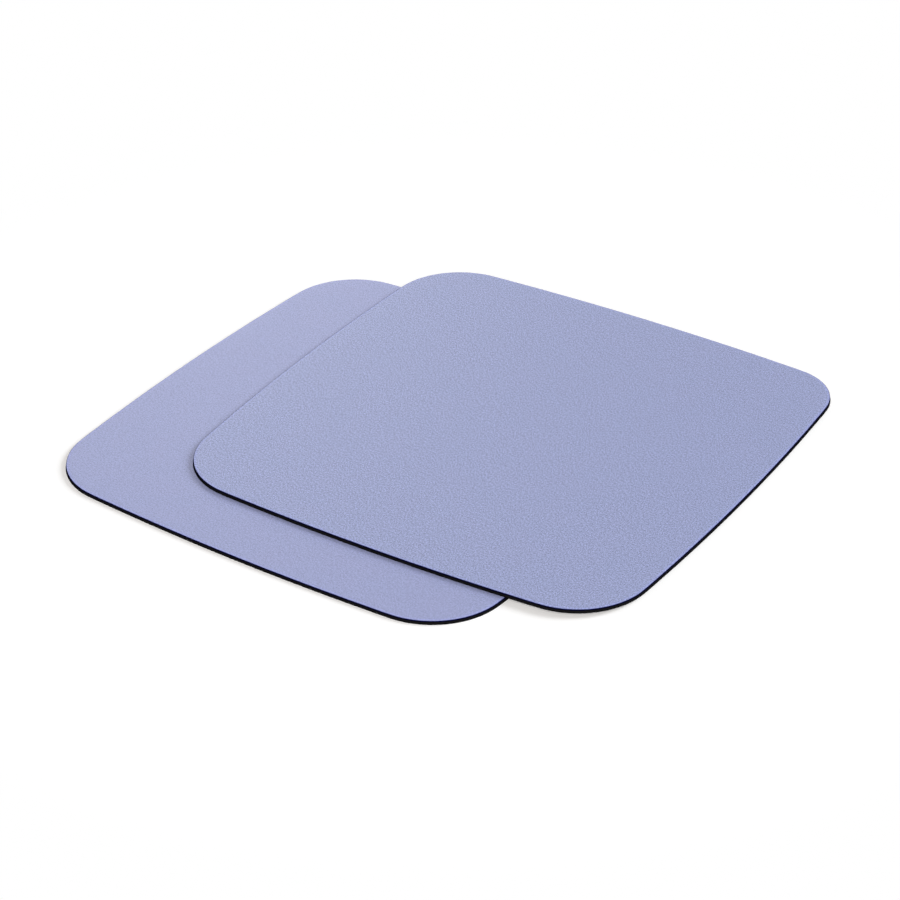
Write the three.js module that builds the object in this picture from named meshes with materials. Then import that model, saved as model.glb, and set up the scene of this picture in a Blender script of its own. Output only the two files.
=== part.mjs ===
// A pair of thin mouse pads, the upper one lying partly over the lower one.
// Each pad is a laminate cut to one outline: a foam rubber base, a bond film and a knit cloth face.
// Millimetres, +Z up. The origin is the centre of the lower pad's underside, X runs along the lower
// pad's front side and Y runs from its front side to its back side.

import * as THREE from "three";

// Outline of a pad
const PAD_WIDTH = 220; // across the middle, along X
const PAD_DEPTH = 222; // across the middle, along Y
const SIDE_BOW = 5.2; // how far each side bulges over its whole length
const CORNER_RADIUS = 33;
const BACK_RIGHT_RADIUS = 24.5; // one corner is tighter than the rest

// Layers of a pad
const FOAM_THICKNESS = 1.4;
const FILM_THICKNESS = 0.1;
const CLOTH_THICKNESS = 0.35;
const BOND_CLEARANCE = 0.01; // between two layers that are bonded together

// How the upper pad lies on the lower one
const REST_CLEARANCE = 0.05; // between the lower pad's cloth and the upper pad's foam
const UPPER_SHIFT_X = 41.3;
const UPPER_SHIFT_Y = 33.6;
const UPPER_TURN_DEGREES = 2.4; // anticlockwise, seen from above

// Straight steps that stand for each arc of the outline
const ARC_STEPS = 16;

// The layers from the desk up
const LAYERS = [
  {
    name: "foam_base",
    thickness: FOAM_THICKNESS,
    look: { color: 0x17171d, roughness: 0.92, metalness: 0 },
  },
  {
    name: "bond_film",
    thickness: FILM_THICKNESS,
    look: { color: 0x262a46, roughness: 0.6, metalness: 0 },
  },
  {
    name: "cloth",
    thickness: CLOTH_THICKNESS,
    look: { color: 0xa1a8cb, roughness: 0.95, metalness: 0 },
  },
];

// The radius of a bowed side of the given length
function bowRadius(length) {
  return ((length / 2) ** 2 + SIDE_BOW ** 2) / (2 * SIDE_BOW);
}

// The point at two given distances from two centres, to the right of the way from first to second
function meetingPoint(first, fromFirst, second, fromSecond) {
  const along = second.clone().sub(first);
  const apart = along.length();
  along.normalize();
  const across = new THREE.Vector2(along.y, -along.x);
  const forward = (fromFirst ** 2 - fromSecond ** 2 + apart ** 2) / (2 * apart);
  const aside = Math.sqrt(fromFirst ** 2 - forward ** 2);
  return first.clone().addScaledVector(along, forward).addScaledVector(across, aside);
}

// The angle at which a point lies, seen from a centre
function angleFrom(centre, point) {
  return point.clone().sub(centre).angle();
}

// The points of an arc, without its last one, which the next arc starts with
function arcPoints(centre, radius, start, end) {
  const arc = new THREE.EllipseCurve(centre.x, centre.y, radius, radius, start, end);
  return arc.getPoints(ARC_STEPS).slice(0, -1);
}

// A pad's outline: four bowed sides and four round corners, with no kink where they meet
function padOutline() {
  const sideRadius = bowRadius(PAD_DEPTH);
  const backRadius = bowRadius(PAD_WIDTH);
  const side = new THREE.Vector2(PAD_WIDTH / 2 - sideRadius, 0);
  const back = new THREE.Vector2(0, PAD_DEPTH / 2 - backRadius);

  // Anticlockwise from the right side, each side with the radius of the corner at its end
  const sides = [
    { centre: side, radius: sideRadius, cornerRadius: BACK_RIGHT_RADIUS },
    { centre: back, radius: backRadius, cornerRadius: CORNER_RADIUS },
    { centre: side.clone().negate(), radius: sideRadius, cornerRadius: CORNER_RADIUS },
    { centre: back.clone().negate(), radius: backRadius, cornerRadius: CORNER_RADIUS },
  ];
  const following = (index) => sides[(index + 1) % sides.length];
  const corners = sides.map(({ centre, radius, cornerRadius }, index) => {
    const next = following(index);
    return meetingPoint(next.centre, next.radius - cornerRadius, centre, radius - cornerRadius);
  });

  const points = [];
  sides.forEach(({ centre, radius, cornerRadius }, index) => {
    const corner = corners[index];
    const sideStart = angleFrom(centre, corners.at(index - 1));
    const sideEnd = angleFrom(centre, corner);
    const cornerEnd = angleFrom(following(index).centre, corner);
    points.push(...arcPoints(centre, radius, sideStart, sideEnd));
    points.push(...arcPoints(corner, cornerRadius, sideEnd, cornerEnd));
  });
  return new THREE.Shape(points);
}

// One pad, standing on z = 0 of its group
function makePad(name) {
  const pad = new THREE.Group();
  let bottom = 0;
  for (const layer of LAYERS) {
    const geometry = new THREE.ExtrudeGeometry(padOutline(), {
      depth: layer.thickness,
      bevelEnabled: false,
    });
    const mesh = new THREE.Mesh(geometry, new THREE.MeshStandardMaterial(layer.look));
    mesh.name = `${name}_${layer.name}`;
    mesh.position.z = bottom;
    pad.add(mesh);
    bottom += layer.thickness + BOND_CLEARANCE;
  }
  return pad;
}

const padThickness = FOAM_THICKNESS + FILM_THICKNESS + CLOTH_THICKNESS + 2 * BOND_CLEARANCE;

const lowerPad = makePad("lower_pad");
const upperPad = makePad("upper_pad");
upperPad.position.set(UPPER_SHIFT_X, UPPER_SHIFT_Y, padThickness + REST_CLEARANCE);
upperPad.rotation.z = THREE.MathUtils.degToRad(UPPER_TURN_DEGREES);

const mousePads = new THREE.Group();
mousePads.add(lowerPad, upperPad);

export default mousePads;
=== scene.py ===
"""The looks of a pair of thin mouse pads: lavender knit cloth bonded to black foam rubber.

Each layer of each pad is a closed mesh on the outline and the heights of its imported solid.
Metres, +Z up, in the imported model's frame. A pad's own frame has its origin at the centre of the
pad's underside, with X along the pad's front side.
"""

import math
from typing import NamedTuple

import bpy
from mathutils import Matrix, Vector
from mathutils.geometry import delaunay_2d_cdt, interpolate_bezier


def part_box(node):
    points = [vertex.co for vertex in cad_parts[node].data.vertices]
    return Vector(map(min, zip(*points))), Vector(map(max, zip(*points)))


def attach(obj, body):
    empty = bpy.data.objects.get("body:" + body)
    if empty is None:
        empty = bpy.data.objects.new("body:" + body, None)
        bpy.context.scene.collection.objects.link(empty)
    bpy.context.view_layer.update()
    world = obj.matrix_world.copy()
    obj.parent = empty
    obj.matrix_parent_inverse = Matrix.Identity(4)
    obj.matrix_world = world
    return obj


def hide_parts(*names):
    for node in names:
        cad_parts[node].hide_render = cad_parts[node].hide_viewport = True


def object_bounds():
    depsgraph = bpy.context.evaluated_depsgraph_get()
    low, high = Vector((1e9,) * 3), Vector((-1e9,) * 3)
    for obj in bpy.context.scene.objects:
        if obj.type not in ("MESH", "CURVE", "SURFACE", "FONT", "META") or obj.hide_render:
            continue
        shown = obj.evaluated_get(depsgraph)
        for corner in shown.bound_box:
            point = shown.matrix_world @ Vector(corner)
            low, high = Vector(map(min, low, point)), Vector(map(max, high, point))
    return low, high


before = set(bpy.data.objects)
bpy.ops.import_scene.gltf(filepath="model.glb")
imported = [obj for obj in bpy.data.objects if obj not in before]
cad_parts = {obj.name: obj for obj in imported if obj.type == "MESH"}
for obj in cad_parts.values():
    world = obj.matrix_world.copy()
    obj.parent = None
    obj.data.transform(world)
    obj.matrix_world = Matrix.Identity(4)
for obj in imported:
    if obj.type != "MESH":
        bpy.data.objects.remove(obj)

cad_low, cad_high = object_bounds()

MM = 0.001

# Camera, in a picture of 900 by 900 pixels
IMAGE_PIXELS = 900
FOCAL_PIXELS = 3133
CAMERA_TARGET = Vector((26.09, 7.14, 0)) * MM
CAMERA_DISTANCE = 1339.7 * MM
CAMERA_AZIMUTH = math.radians(34.52)
CAMERA_ELEVATION = math.radians(32.3)
SENSOR_WIDTH = 36  # millimetres, as a lens is measured

# How each pad is turned, seen from above
TURNS = {"lower_pad": 0, "upper_pad": math.radians(2.4)}

# Outline and top faces
OUTLINE_STEPS = 3  # points of the fine outline for each point of the solid's outline
GRID_PITCH = 6 * MM
SHARP_ANGLE = math.radians(50)  # faces that meet at more than this show an edge
TRIANGLES_INSIDE = 1  # keeps only the triangles inside an outline
MERGE_DISTANCE = 1e-9  # points nearer to each other than this are taken as one

# Cut edge of the cloth: the die rolls the top edge over and presses a shallow slope beside it
ROLL_RADIUS = 0.2 * MM
ROLL_STEPS = 5
PRESS_WIDTH = 2.0 * MM
PRESS_DEPTH = 0.12 * MM
PRESS_STEPS = 5

# Cut edge of the film and the foam
FILM_RECESS = 0.04 * MM
FOAM_HOLLOW = 0.1 * MM  # how far the foam's cut side draws in at half its height
FOAM_HOLLOW_STEPS = 6
FOAM_FLARE = 0.27 * MM  # how far the foam's cut side slopes out to its foot
FOAM_FOOT = 0.15 * MM  # radius along the foam's lower edge

# Underside of the foam: six-sided lands with grooves between them, inside a plain margin
TREAD_PITCH = 5 * MM
TREAD_GROOVE = 0.9 * MM
TREAD_WALL = 0.3 * MM
TREAD_DEPTH = 0.18 * MM
TREAD_MARGIN = 3 * MM
TREAD_ROOM = 0.7 * TREAD_PITCH  # least distance from a land's centre to the margin's wall
LAND_CORNERS = 6

# Knit of the cloth
WALE = 0.82 * MM  # width of a column of stitches
COURSE = 0.62 * MM  # height of a row of stitches
STITCH_SLANT = 0.8  # how far a stitch's leg climbs, in rows
KNIT_RELIEF = 0.03 * MM
KNIT_ROUGHNESS = (0.75, 0.55)  # in the furrow between two columns, and on their middle
LEG_RELIEF = 0.3  # share of the relief that the stitches' legs have
PAINTED_FURROW_SHADE = 0.06  # how much darker the furrow between two columns is than their middle: painted shade
FUZZ_WIDTH = 0.52 * MM  # size of a tuft of fibres, across the columns and along them
FUZZ_LENGTH = 0.72 * MM
FUZZ_SHADE = {"lower_pad": 0.7, "upper_pad": 1.25}  # how much the fibres' shade varies
LEG_SHADE = 0.15  # how much the shades of stitches' legs differ
DYE_PATCH = 14 * MM
DYE_SPAN = (0.35, 0.65)  # part of the noise over which one tint turns into the other
SLOPE_HIGHLIGHT_SPAN = (0.2, 0.6)  # part of the slope over which the painted highlight sets in

# Cut side of the cloth, and the bond film
YARN_END = 0.25 * MM
YARN_END_SQUEEZE = (1, 1, 0.4)  # the smeared ends are taller than wide
YARN_END_RELIEF = 0.06 * MM
YARN_END_ROUGHNESS = (0.95, 0.8)
FILM_SMEAR = 0.8 * MM
FILM_RELIEF = 0.02 * MM
FILM_ROUGHNESS = (0.7, 0.5)

# Cells and skin of the foam
FOAM_CELL = 0.3 * MM
CELL_SPAN = (0.1, 0.7)  # from the middle of a cell to its wall, in cells
FOAM_RELIEF = 0.08 * MM
FOAM_ROUGHNESS = (0.98, 0.9)
FOAM_BLOTCH = 2.5 * MM
BLOTCH_SPAN = (0.2, 0.8)
BLOTCH_SHADE = (0.5, 1.0)
PACKED_AND_SHADED_RIM = 0.45 * MM  # how far the cut's top and bottom are packed, which makes them darker; along the bottom the dark also stands for painted shade at the foot
SKIN_GRAIN = 0.5 * MM
SKIN_RELIEF = 0.05 * MM
SKIN_ROUGHNESS = (0.7, 0.88)
DUST_PATCH = 9 * MM
DUST_SPAN = (0.35, 0.75)

NOISE_SPAN = (0.3, 0.7)  # where most values of a noise lie

# Colours, linear
CLOTH = {"lower_pad": (0.292, 0.324, 0.557), "upper_pad": (0.278, 0.317, 0.541)}
CLOTH_PLAIN = (1, 1, 1, 1)
CLOTH_COOL = (0.994, 1, 1, 1)  # tints that the dye wanders between
CLOTH_WARM = (1.006, 1, 1, 1)
CLOTH_SLOPE_HIGHLIGHT = (1.02, 1.03, 1.14, 1)  # lighter, bluer tint on the pressed slope: a painted highlight along the cut
# near-black navy of the cloth's cut side: smeared yarn ends, darkened further with painted shade
CLOTH_CUT_LIGHT = (0.004, 0.005, 0.08, 1)
CLOTH_CUT_DARK = (0.002, 0.0025, 0.035, 1)
FILM_LIGHT = (0.004, 0.005, 0.03, 1)
FILM_DARK = (0.002, 0.0025, 0.014, 1)
FOAM_LIGHT = (0.011, 0.0107, 0.012, 1)
FOAM_DARK = (0.0035, 0.0035, 0.004, 1)
# darkest foam, which on the cut's foot is also painted shade
FOAM_PACKED_AND_SHADED = (0.0006, 0.0006, 0.0008, 1)
FLOOR_WHITE = (0.95, 0.95, 0.95, 1)

# Light, where level 1 shows a white face at its full white
WORLD_LEVEL = 0.16
WORLD_COLOUR = (1, 0.97, 0.95, 1)
WORLD_SEEN = (1, 1, 1, 1)  # the colour that is seen where the world lies behind the part

# Floor
FLOOR_SIZE = 12
FLOOR_LIFT = 0.13  # added where the floor is seen, so that its lit part is white
FLOOR_FADE_START = 0.2
FLOOR_FADE_END = 0.3


class Softbox(NamedTuple):
    """A square lamp. The level is the light that it gives a level face at the pads."""

    azimuth: float
    elevation: float
    distance: float
    size: float
    level: float
    colour: tuple
    shines_only: bool = False


# A warm lamp from the camera's side gives the most light, a cool one over the back right corner casts
# the shadows, and a low one only shines on the cloth
SOFTBOXES = {
    "key": Softbox(
        azimuth=math.radians(47),
        elevation=math.radians(30),
        distance=25.0,
        size=11.5,
        level=0.35,
        colour=(0.96, 1, 1.04),
    ),
    "fill": Softbox(
        azimuth=math.radians(304.5),
        elevation=math.radians(35),
        distance=22.0,
        size=7.5,
        level=0.49,
        colour=(1.03, 1, 0.97),
    ),
    "sheen": Softbox(
        azimuth=math.radians(142),
        elevation=math.radians(24),
        distance=0.55,
        size=0.3,
        level=0.17,
        colour=(1, 1, 1),
        shines_only=True,
    ),
}


class Nodes:
    """A node tree, written as calls that return the new node's output."""

    def __init__(self, tree):
        self.tree = tree
        self.tree.nodes.clear()

    def add(self, kind, inputs, **settings):
        node = self.tree.nodes.new(kind)
        for name, value in settings.items():
            setattr(node, name, value)
        for key, value in inputs.items():
            if isinstance(value, bpy.types.NodeSocket):
                self.tree.links.new(value, node.inputs[key])
            else:
                node.inputs[key].default_value = value
        return node

    def math(self, operation, first, second=0.0, third=0.0):
        inputs = {0: first, 1: second, 2: third}
        return self.add("ShaderNodeMath", inputs, operation=operation).outputs[0]

    def times(self, vector, factors):
        inputs = {0: vector, 1: factors}
        return self.add("ShaderNodeVectorMath", inputs, operation="MULTIPLY").outputs[0]

    def floor(self, vector):
        return self.add("ShaderNodeVectorMath", {0: vector}, operation="FLOOR").outputs[0]

    def chance(self, place):
        inputs = {"Vector": place}
        return self.add("ShaderNodeTexWhiteNoise", inputs, noise_dimensions="2D").outputs["Value"]

    def place(self):
        return self.add("ShaderNodeTexCoord", {}).outputs["Object"]

    def split(self, vector):
        return self.add("ShaderNodeSeparateXYZ", {0: vector}).outputs

    def ramp(self, value, low, high, to_low=0.0, to_high=1.0):
        inputs = {"Value": value, "From Min": low, "From Max": high}
        inputs |= {"To Min": to_low, "To Max": to_high}
        return self.add("ShaderNodeMapRange", inputs, interpolation_type="SMOOTHSTEP").outputs["Result"]

    def mix(self, share, first, second):
        """A colour between two. A mix of colours has its two in sockets 6 and 7 and gives socket 2."""
        inputs = {0: share, 6: first, 7: second}
        return self.add("ShaderNodeMix", inputs, data_type="RGBA").outputs[2]

    def noise(self, place, size, detail=2.0, roughness=0.5):
        inputs = {"Vector": place, "Scale": 1 / size, "Detail": detail, "Roughness": roughness}
        return self.add("ShaderNodeTexNoise", inputs).outputs["Fac"]

    def bump(self, height, relief):
        return self.add("ShaderNodeBump", {"Height": height, "Distance": relief}).outputs["Normal"]


def new_material(name):
    material = bpy.data.materials.new(name)
    material.use_nodes = True
    return material, Nodes(material.node_tree)


def surface(nodes, **inputs):
    """Ends a material with one Principled surface; underscores in the names stand for spaces."""
    named = {key.replace("_", " "): value for key, value in inputs.items()}
    shader = nodes.add("ShaderNodeBsdfPrincipled", named)
    nodes.add("ShaderNodeOutputMaterial", {"Surface": shader.outputs[0]})


# Cloth face: columns of V-shaped stitches along the pad's depth
def knit_cloth(pad):
    material, nodes = new_material(f"{pad}_knit")
    place = nodes.place()
    stitches = nodes.times(place, (1 / WALE, 1 / COURSE, 0))
    across, along, _ = nodes.split(stitches)

    # A column swells from the furrow beside it to its middle, and its stitches' legs climb that way
    swell = nodes.math("PINGPONG", across, 0.5)
    column = nodes.math("SINE", nodes.math("MULTIPLY", swell, math.pi))
    climb = nodes.math("MULTIPLY_ADD", swell, 2 * STITCH_SLANT, along)
    legs = nodes.math("SINE", nodes.math("MULTIPLY", climb, 2 * math.pi))
    rise = nodes.math("MULTIPLY_ADD", legs, LEG_RELIEF, 1 - LEG_RELIEF)
    height = nodes.math("MULTIPLY", column, rise)

    # Furrows are darker with painted shade, fibres differ along the yarn, and each leg of a stitch has
    # its own shade
    shade = nodes.ramp(column, 0.0, 1.0, 1 - PAINTED_FURROW_SHADE, 1.0)
    fuzz = nodes.noise(nodes.times(place, (1 / FUZZ_WIDTH, 1 / FUZZ_LENGTH, 0)), 1.0, detail=0.0)
    shade = nodes.math("MULTIPLY_ADD", nodes.math("SUBTRACT", fuzz, 0.5), FUZZ_SHADE[pad], shade)
    leg = nodes.floor(nodes.times(stitches, (2, 1, 0)))
    shade = nodes.math("MULTIPLY_ADD", nodes.math("SUBTRACT", nodes.chance(leg), 0.5), LEG_SHADE, shade)
    dye = nodes.noise(place, DYE_PATCH, detail=3.0)
    tint = nodes.mix(nodes.ramp(dye, *DYE_SPAN), CLOTH_COOL, CLOTH_WARM)
    colour = nodes.times(nodes.times(tint, CLOTH[pad]), shade)

    # A painted highlight makes the pressed slope beside the cut lighter and bluer
    rim = nodes.add("ShaderNodeAttribute", {}, attribute_name="rim").outputs["Fac"]
    slope_highlight = nodes.mix(nodes.ramp(rim, *SLOPE_HIGHLIGHT_SPAN), CLOTH_PLAIN, CLOTH_SLOPE_HIGHLIGHT)
    surface(
        nodes,
        Base_Color=nodes.times(colour, slope_highlight),
        Roughness=nodes.ramp(height, 0.0, 1.0, *KNIT_ROUGHNESS),
        Specular_IOR_Level=0.5,
        Sheen_Weight=0.3,
        Sheen_Roughness=0.45,
        Sheen_Tint=(1, 1, 1, 1),
        Normal=nodes.bump(height, KNIT_RELIEF),
    )
    return material


# Cut side of the cloth: yarn ends smeared with bonding film, darker still with painted shade
def cloth_cut():
    material, nodes = new_material("cloth_cut")
    place = nodes.place()
    ends = nodes.noise(nodes.times(place, YARN_END_SQUEEZE), YARN_END, detail=3.0)
    surface(
        nodes,
        Base_Color=nodes.mix(nodes.ramp(ends, *NOISE_SPAN), CLOTH_CUT_DARK, CLOTH_CUT_LIGHT),
        Roughness=nodes.ramp(ends, *NOISE_SPAN, *YARN_END_ROUGHNESS),
        Specular_IOR_Level=0.02,
        Normal=nodes.bump(ends, YARN_END_RELIEF),
    )
    return material


# Bond film: a dull line between the cloth and the foam
def bond_film():
    material, nodes = new_material("bond_film")
    smear = nodes.noise(nodes.place(), FILM_SMEAR, detail=3.0)
    surface(
        nodes,
        Base_Color=nodes.mix(nodes.ramp(smear, *NOISE_SPAN), FILM_DARK, FILM_LIGHT),
        Roughness=nodes.ramp(smear, *NOISE_SPAN, *FILM_ROUGHNESS),
        Specular_IOR_Level=0.05,
        Normal=nodes.bump(smear, FILM_RELIEF),
    )
    return material


# Cut side of the foam: opened cells whose hollows are darker with painted shade, packed along the top
# and the bottom, where the bottom also holds painted shade along the foot
def foam_cut():
    material, nodes = new_material("foam_cut")
    place = nodes.place()
    inputs = {"Vector": place, "Scale": 1 / FOAM_CELL}
    cell = nodes.add("ShaderNodeTexVoronoi", inputs).outputs["Distance"]
    blotch = nodes.ramp(nodes.noise(place, FOAM_BLOTCH), *BLOTCH_SPAN, *BLOTCH_SHADE)
    wall = nodes.math("MULTIPLY", nodes.ramp(cell, *CELL_SPAN), blotch)
    height = nodes.split(place)[2]
    top = layer_heights("lower_pad", "foam_base")[1]
    # the dark rim at the foot is packed foam and painted shade
    above = nodes.ramp(height, 0.0, PACKED_AND_SHADED_RIM)
    below = nodes.ramp(height, top - PACKED_AND_SHADED_RIM, top, 1.0, 0.0)
    # the cells' hollows are darker than their walls: painted shade
    cells_with_hollow_shade = nodes.mix(wall, FOAM_DARK, FOAM_LIGHT)
    surface(
        nodes,
        Base_Color=nodes.mix(nodes.math("MULTIPLY", above, below), FOAM_PACKED_AND_SHADED, cells_with_hollow_shade),
        Roughness=nodes.ramp(cell, *CELL_SPAN, *FOAM_ROUGHNESS),
        Specular_IOR_Level=0.0,
        Normal=nodes.bump(wall, FOAM_RELIEF),
    )
    return material


# Underside of the foam: the closed skin of the sheet, with a fine grain
def foam_skin():
    material, nodes = new_material("foam_skin")
    place = nodes.place()
    grain = nodes.noise(place, SKIN_GRAIN, detail=4.0, roughness=0.6)
    dust = nodes.noise(place, DUST_PATCH, detail=3.0)
    surface(
        nodes,
        Base_Color=nodes.mix(nodes.ramp(dust, *DUST_SPAN), FOAM_PACKED_AND_SHADED, FOAM_DARK),
        Roughness=nodes.ramp(grain, *NOISE_SPAN, *SKIN_ROUGHNESS),
        Specular_IOR_Level=0.3,
        Normal=nodes.bump(grain, SKIN_RELIEF),
    )
    return material


def pad_place(pad):
    """Where a pad's own frame lies."""
    low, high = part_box(f"{pad}_foam_base")
    centre = (low + high) / 2
    return Matrix.Translation((centre.x, centre.y, low.z)) @ Matrix.Rotation(TURNS[pad], 4, "Z")


def tangent(before, point, after):
    """The way a smooth curve runs through a point, from its two neighbours."""
    back = point - before
    ahead = after - point
    return (back * ahead.length / back.length + ahead * back.length / ahead.length).normalized()


def pad_outline(pad):
    """A pad's outline in the pad's own frame, anticlockwise.

    It is a smooth curve through the corners of the solid's top face.
    """
    node = f"{pad}_cloth"
    low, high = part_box(node)
    to_pad = pad_place(pad).inverted()
    points = [vertex.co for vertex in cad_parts[node].data.vertices]
    top = [point for point in points if point.z > (low.z + high.z) / 2]
    corners = {(to_pad @ point).to_2d().freeze() for point in top}
    corners = sorted(corners, key=lambda corner: math.atan2(corner.y, corner.x))
    count = len(corners)
    ways = [tangent(corners[i - 1], corners[i], corners[(i + 1) % count]) for i in range(count)]
    outline = []
    for index, start in enumerate(corners):
        following = (index + 1) % count
        end = corners[following]
        handle = (end - start).length / 3
        start_handle = start + ways[index] * handle
        end_handle = end - ways[following] * handle
        outline += interpolate_bezier(start, start_handle, end_handle, end, OUTLINE_STEPS + 1)[:-1]
    return [Vector(point[:2]) for point in outline]


def inset(outline, distance):
    """The outline moved inwards."""
    count = len(outline)
    moved = []
    for index, point in enumerate(outline):
        along = outline[(index + 1) % count] - outline[index - 1]
        inwards = Vector((-along.y, along.x)).normalized()
        moved.append(point + inwards * distance)
    return moved


def lies_within(point, outline):
    """Whether a point lies inside a convex anticlockwise outline."""
    for index, corner in enumerate(outline):
        along = corner - outline[index - 1]
        reach = point - corner
        if along.x * reach.y - along.y * reach.x <= 0:
            return False
    return True


class LayerMesh:
    """The vertices and faces of one closed layer.

    A face holds its vertices and its material's number. The insets say how far inside the outline
    each vertex lies, up to the width of the pressed slope.
    """

    def __init__(self, outline):
        self.outline = outline
        self.vertices = []
        self.insets = []
        self.faces = []

    def ring(self, distance, height):
        """Adds the outline moved inwards, at a height, and returns the numbers of its vertices."""
        first = len(self.vertices)
        self.vertices += [(point.x, point.y, height) for point in inset(self.outline, distance)]
        self.insets += [distance] * len(self.outline)
        return range(first, len(self.vertices))

    def band(self, lower, upper, material):
        """Joins two rings, the lower one first."""
        for index in range(len(lower)):
            corners = (lower[index - 1], lower[index], upper[index], upper[index - 1])
            self.faces.append((corners, material))

    def wall(self, profile, material):
        """Adds a ring for each inset and height of a profile that climbs the edge, and joins them."""
        rings = [self.ring(distance, height) for distance, height in profile]
        for lower, upper in zip(rings, rings[1:]):
            self.band(lower, upper, material)
        return rings[0], rings[-1]

    def cap(self, ring, material, facing_up, inner=(), loops=()):
        """Closes a ring with triangles, over points inside it and along loops of those points."""
        numbers = list(ring)
        numbers += range(len(self.vertices), len(self.vertices) + len(inner))
        self.vertices += inner
        self.insets += [PRESS_WIDTH] * len(inner)
        flat = [Vector(self.vertices[number][:2]) for number in numbers]
        count = len(ring)
        edges = [(index - 1, index) for index in range(1, count)] + [(count - 1, 0)]
        for loop in loops:
            edges += [(count + loop[index - 1], count + loop[index]) for index in range(len(loop))]
        border = [list(range(count))]
        result = delaunay_2d_cdt(flat, edges, border, TRIANGLES_INSIDE, MERGE_DISTANCE)
        _, _, triangles, origins, _, _ = result
        for triangle in triangles:
            corners = [numbers[origins[corner][0]] for corner in triangle]
            self.faces.append((corners if facing_up else corners[::-1], material))

    def make(self, name, pad, materials):
        """The finished piece, lying where its pad lies."""
        mesh = bpy.data.meshes.new(name)
        mesh.from_pydata(self.vertices, [], [corners for corners, _ in self.faces])
        for material in materials:
            mesh.materials.append(material)
        mesh.polygons.foreach_set("material_index", [material for _, material in self.faces])
        mesh.shade_smooth()
        mesh.set_sharp_from_angle(angle=SHARP_ANGLE)
        piece = bpy.data.objects.new(name, mesh)
        bpy.context.scene.collection.objects.link(piece)
        piece.matrix_world = pad_place(pad)
        return piece


def layer_heights(pad, layer):
    """The lowest and highest point of a layer's solid, above its pad's underside."""
    low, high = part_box(f"{pad}_{layer}")
    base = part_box(f"{pad}_foam_base")[0].z
    return low.z - base, high.z - base


def face_grid(outline):
    """Points of a square grid inside an outline."""
    room = inset(outline, GRID_PITCH / 2)
    reach = max(max(abs(point.x), abs(point.y)) for point in outline)
    steps = math.ceil(reach / GRID_PITCH)
    points = [
        Vector((column, row)) * GRID_PITCH
        for row in range(-steps, steps + 1)
        for column in range(-steps, steps + 1)
    ]
    return [point for point in points if lies_within(point, room)]


def cloth_layer(pad, outline):
    """The cloth: a cut side, a rolled top edge, a pressed slope and the open face."""
    bottom, top = layer_heights(pad, "cloth")
    shape = LayerMesh(outline)
    edge_top = top - PRESS_DEPTH
    edge_bottom = edge_top - ROLL_RADIUS

    cut = [(0, bottom)]
    for step in range(ROLL_STEPS + 1):
        angle = math.pi / 2 * step / ROLL_STEPS
        cut.append((ROLL_RADIUS * (1 - math.cos(angle)), edge_bottom + ROLL_RADIUS * math.sin(angle)))
    first, cut_top = shape.wall(cut, 1)

    slope = []
    for step in range(1, PRESS_STEPS + 1):
        share = step / PRESS_STEPS
        distance = ROLL_RADIUS + (PRESS_WIDTH - ROLL_RADIUS) * share
        slope.append((distance, top - PRESS_DEPTH * (1 - share) ** 2))
    slope_bottom, last = shape.wall(slope, 0)
    shape.band(cut_top, slope_bottom, 0)

    grid = face_grid(inset(outline, PRESS_WIDTH))
    shape.cap(first, 1, False)
    shape.cap(last, 0, True, [(point.x, point.y, top) for point in grid])
    return shape


def film_layer(pad, outline):
    """The bond film, drawn in a little from the cut edge."""
    bottom, top = layer_heights(pad, "bond_film")
    shape = LayerMesh(outline)
    first, last = shape.wall([(FILM_RECESS, bottom), (FILM_RECESS, top)], 0)
    shape.cap(first, 0, False)
    shape.cap(last, 0, True)
    return shape


def hexagon(centre, across):
    """The corners of a six-sided land, anticlockwise, with two of its sides along Y."""
    radius = across / math.sqrt(3)
    angles = [math.radians(30 + 60 * corner) for corner in range(LAND_CORNERS)]
    return [centre + Vector((math.cos(angle), math.sin(angle))) * radius for angle in angles]


def tread_centres(outline):
    """The centres of the lands that fit inside the margin."""
    room = inset(outline, TREAD_MARGIN + TREAD_WALL + TREAD_ROOM)
    reach = max(max(abs(point.x), abs(point.y)) for point in outline)
    row_pitch = TREAD_PITCH * math.sqrt(3) / 2
    rows = math.ceil(reach / row_pitch)
    columns = math.ceil(reach / TREAD_PITCH)
    centres = []
    for row in range(-rows, rows + 1):
        for column in range(-columns, columns + 1):
            centre = Vector(((column + row % 2 / 2) * TREAD_PITCH, row * row_pitch))
            if lies_within(centre, room):
                centres.append(centre)
    return centres


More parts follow.
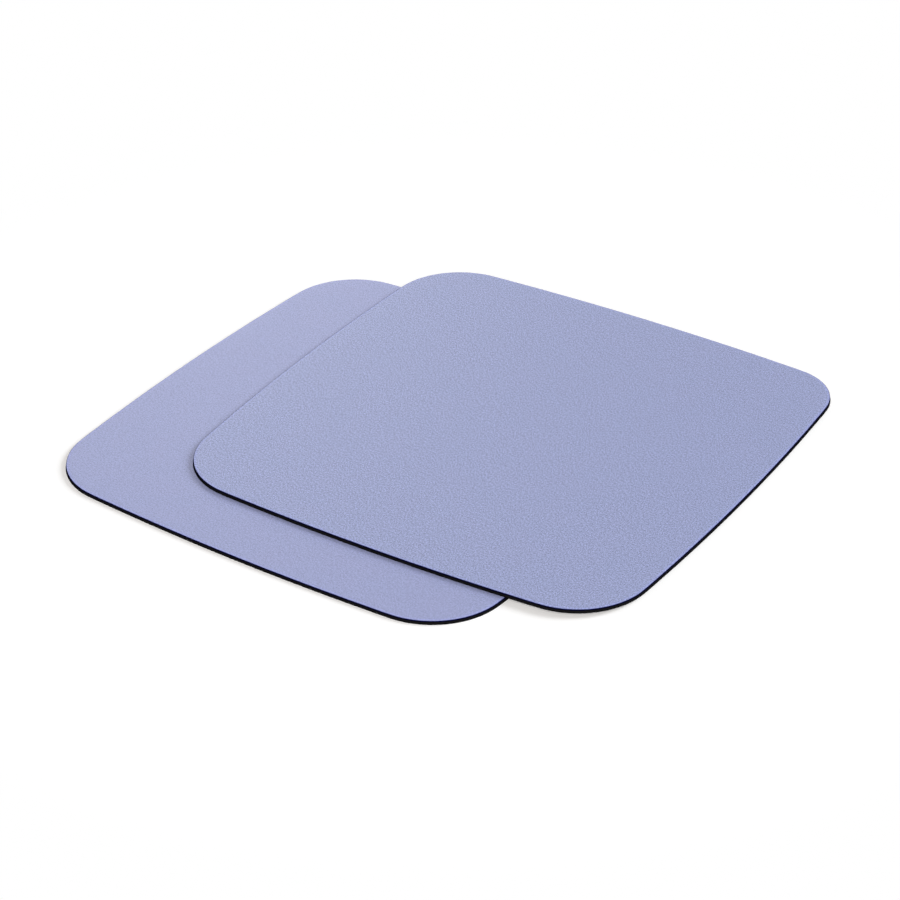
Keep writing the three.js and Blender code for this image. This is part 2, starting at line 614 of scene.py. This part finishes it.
def foam_layer(pad, outline):
    """The foam: a grooved underside, a rounded foot, a hollow cut side and the bonded top."""
    bottom, top = layer_heights(pad, "foam_base")
    groove = bottom + TREAD_DEPTH
    shape = LayerMesh(outline)
    foot_inset = FOAM_FOOT - FOAM_FLARE
    margin = [(TREAD_MARGIN + TREAD_WALL, groove), (TREAD_MARGIN, bottom), (foot_inset, bottom)]
    first, foot = shape.wall(margin, 1)

    half_turn = FOAM_FOOT * (1 - math.sqrt(0.5))
    side = [(half_turn - FOAM_FLARE, bottom + half_turn)]
    side_bottom = bottom + FOAM_FOOT
    for step in range(FOAM_HOLLOW_STEPS + 1):
        share = step / FOAM_HOLLOW_STEPS
        distance = FOAM_HOLLOW * math.sin(math.pi * share) - FOAM_FLARE * (1 - share)
        side.append((distance, side_bottom + (top - side_bottom) * share))
    side_first, last = shape.wall(side, 0)
    shape.band(foot, side_first, 0)

    wall_across = TREAD_PITCH - TREAD_GROOVE
    land_across = wall_across - 2 * TREAD_WALL
    inner = []
    loops = []
    for centre in tread_centres(outline):
        for across, height in ((wall_across, groove), (land_across, bottom)):
            loops.append(range(len(inner), len(inner) + LAND_CORNERS))
            inner += [(corner.x, corner.y, height) for corner in hexagon(centre, across)]
    shape.cap(first, 1, False, inner, loops)
    shape.cap(last, 0, True)
    return shape


def mark_rim(cloth, shape):
    """Writes how near to the cut a point of the cloth lies, from 1 at the cut to 0 past the slope."""
    rim = cloth.data.attributes.new("rim", "FLOAT", "POINT")
    rim.data.foreach_set("value", [1 - min(distance / PRESS_WIDTH, 1) for distance in shape.insets])


def make_pad(pad, looks):
    """The three layers of one pad, each in the place of its solid."""
    outline = pad_outline(pad)
    short = pad.removesuffix("_pad")

    foam_looks = [looks["foam_cut"], looks["foam_skin"]]
    foam = foam_layer(pad, outline).make(f"{short}_foam_rubber", pad, foam_looks)
    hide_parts(f"{pad}_foam_base")

    film = film_layer(pad, outline).make(f"{short}_film", pad, [looks["bond_film"]])
    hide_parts(f"{pad}_bond_film")

    cloth_shape = cloth_layer(pad, outline)
    cloth = cloth_shape.make(f"{short}_knit_cloth", pad, [knit_cloth(pad), looks["cloth_cut"]])
    mark_rim(cloth, cloth_shape)
    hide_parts(f"{pad}_cloth")

    for piece in (foam, film, cloth):
        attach(piece, pad)


def seen_share(nodes):
    """1 for a ray that shows a surface to the camera, also by reflection or glass, and 0 for light."""
    path = nodes.add("ShaderNodeLightPath", {}).outputs
    shown = nodes.math("MAXIMUM", path["Is Camera Ray"], path["Is Glossy Ray"])
    return nodes.math("MAXIMUM", shown, path["Is Transmission Ray"])


def make_floor():
    """A white floor that keeps the pads' shadow and fades to plain white far from them."""
    material, nodes = new_material("floor")
    seen = seen_share(nodes)
    lit = nodes.add("ShaderNodeBsdfDiffuse", {"Color": FLOOR_WHITE}).outputs[0]
    seen_lift = nodes.math("MULTIPLY", seen, FLOOR_LIFT)
    lift = nodes.add("ShaderNodeEmission", {"Strength": seen_lift}).outputs[0]
    near = nodes.add("ShaderNodeAddShader", {0: lit, 1: lift}).outputs[0]
    far = nodes.add("ShaderNodeEmission", {"Strength": 1.0}).outputs[0]
    reach = nodes.add("ShaderNodeVectorMath", {0: nodes.place()}, operation="LENGTH").outputs["Value"]
    fade = nodes.math("MULTIPLY", nodes.ramp(reach, FLOOR_FADE_START, FLOOR_FADE_END), seen)
    shader = nodes.add("ShaderNodeMixShader", {0: fade, 1: near, 2: far}).outputs[0]
    nodes.add("ShaderNodeOutputMaterial", {"Surface": shader})

    half = FLOOR_SIZE / 2
    corners = [(-half, -half, 0), (half, -half, 0), (half, half, 0), (-half, half, 0)]
    mesh = bpy.data.meshes.new("floor")
    mesh.from_pydata(corners, [], [(0, 1, 2, 3)])
    mesh.materials.append(material)
    floor = bpy.data.objects.new("floor", mesh)
    centre = (cad_low + cad_high) / 2
    floor.location = (centre.x, centre.y, cad_low.z)
    bpy.context.scene.collection.objects.link(floor)


def make_world():
    """Even light from all round, seen as plain white."""
    world = bpy.data.worlds.new("world")
    world.use_nodes = True
    nodes = Nodes(world.node_tree)
    seen = seen_share(nodes)
    colour = nodes.mix(seen, WORLD_COLOUR, WORLD_SEEN)
    strength = nodes.math("MULTIPLY_ADD", seen, 1 - WORLD_LEVEL, WORLD_LEVEL)
    light = nodes.add("ShaderNodeBackground", {"Color": colour, "Strength": strength}).outputs[0]
    nodes.add("ShaderNodeOutputWorld", {"Surface": light})
    bpy.context.scene.world = world


def make_softbox(name, box):
    """A softbox that faces the pads."""
    towards = Vector((math.cos(box.azimuth), math.sin(box.azimuth), 0)) * math.cos(box.elevation)
    towards.z = math.sin(box.elevation)
    lamp = bpy.data.lights.new(name, "AREA")
    lamp.shape = "SQUARE"
    lamp.size = box.size
    lamp.color = box.colour

    # The power at which a level face at the pads gets the box's level
    lamp.energy = box.level * (math.pi * box.distance) ** 2 / towards.z
    softbox = bpy.data.objects.new(name, lamp)
    softbox.location = (cad_low + cad_high) / 2 + towards * box.distance
    softbox.rotation_euler = (-towards).to_track_quat("-Z", "Y").to_euler()
    softbox.visible_camera = False
    softbox.visible_diffuse = not box.shines_only
    bpy.context.scene.collection.objects.link(softbox)


def make_camera():
    """The camera at the photograph's viewing angle."""
    ahead = Vector((-math.sin(CAMERA_AZIMUTH), math.cos(CAMERA_AZIMUTH), 0))
    ahead *= math.cos(CAMERA_ELEVATION)
    ahead.z = -math.sin(CAMERA_ELEVATION)
    data = bpy.data.cameras.new("camera")
    data.sensor_width = SENSOR_WIDTH
    data.lens = FOCAL_PIXELS * SENSOR_WIDTH / IMAGE_PIXELS
    camera = bpy.data.objects.new("camera", data)
    camera.location = CAMERA_TARGET - ahead * CAMERA_DISTANCE
    camera.rotation_euler = ahead.to_track_quat("-Z", "Y").to_euler()
    bpy.context.scene.collection.objects.link(camera)
    bpy.context.scene.camera = camera


make_camera()
pad_looks = {
    "cloth_cut": cloth_cut(),
    "bond_film": bond_film(),
    "foam_cut": foam_cut(),
    "foam_skin": foam_skin(),
}
for pad_name in TURNS:
    make_pad(pad_name, pad_looks)
make_floor()
make_world()
for box_name, softbox in SOFTBOXES.items():
    make_softbox(box_name, softbox)
bpy.context.scene.view_settings.view_transform = "Standard"
